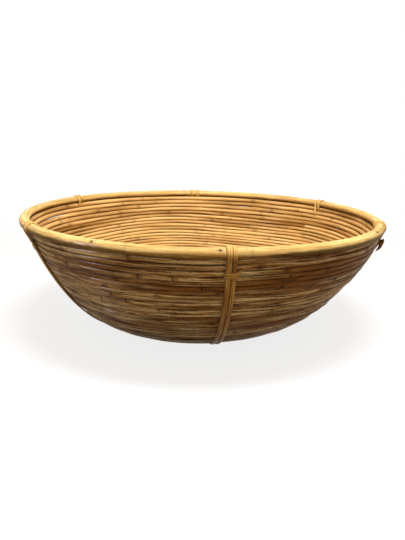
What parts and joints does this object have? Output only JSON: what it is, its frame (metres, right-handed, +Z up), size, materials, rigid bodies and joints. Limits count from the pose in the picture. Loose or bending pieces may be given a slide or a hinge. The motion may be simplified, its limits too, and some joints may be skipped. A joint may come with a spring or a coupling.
{
  "type": "pencil reed bowl",
  "caption": "Wide round bowl coiled from pencil-thick rattan reeds, with a thicker rim cane and paired split-cane bindings over the rim and under the base.",
  "frame": {"origin": "on the table under the middle of the bowl: the bowl's own axis, at the height of the strips' undersides", "axes": "+Z up along the bowl's axis, -Y towards the front pair of strips, +X to the right seen from the front"},
  "size_m": [0.4606, 0.4635, 0.1518],
  "materials": {
    "reed": "varnished rattan core, satin",
    "rim_cane": "varnished whole rattan cane, satin",
    "split_cane": "split rattan skin, glossy",
    "nail": "dull, darkened"
  },
  "bodies": {
    "root": {"reed_01": "reed", "reed_02": "reed", "reed_03": "reed", "reed_04": "reed", "reed_05": "reed", "reed_06": "reed", "reed_07": "reed", "reed_08": "reed", "reed_09": "reed", "reed_10": "reed", "reed_11": "reed", "reed_12": "reed", "reed_13": "reed", "reed_14": "reed", "reed_15": "reed", "rim_cane": "rim_cane", "front_strip_a": "split_cane", "front_strip_b": "split_cane", "right_strip_a": "split_cane", "right_strip_b": "split_cane", "back_right_strip_a": "split_cane", "back_right_strip_b": "split_cane", "back_strip_a": "split_cane", "back_strip_b": "split_cane", "back_left_strip_a": "split_cane", "back_left_strip_b": "split_cane", "left_strip_a": "split_cane", "left_strip_b": "split_cane", "front_tie": "split_cane", "right_tie": "split_cane", "back_right_tie": "split_cane", "back_tie": "split_cane", "back_left_tie": "split_cane", "left_tie": "split_cane", "rim_nail_1": "nail", "rim_nail_2": "nail", "rim_nail_3": "nail", "rim_nail_4": "nail", "rim_nail_5": "nail", "rim_nail_6": "nail", "rim_nail_7": "nail", "splice_nail_1": "nail", "splice_nail_2": "nail", "splice_nail_3": "nail", "splice_nail_4": "nail", "splice_nail_5": "nail", "splice_nail_6": "nail", "splice_nail_7": "nail", "splice_nail_8": "nail", "splice_nail_9": "nail", "splice_nail_10": "nail", "splice_nail_11": "nail", "splice_nail_12": "nail", "splice_nail_13": "nail", "splice_nail_14": "nail"}
  },
  "joints": []
}
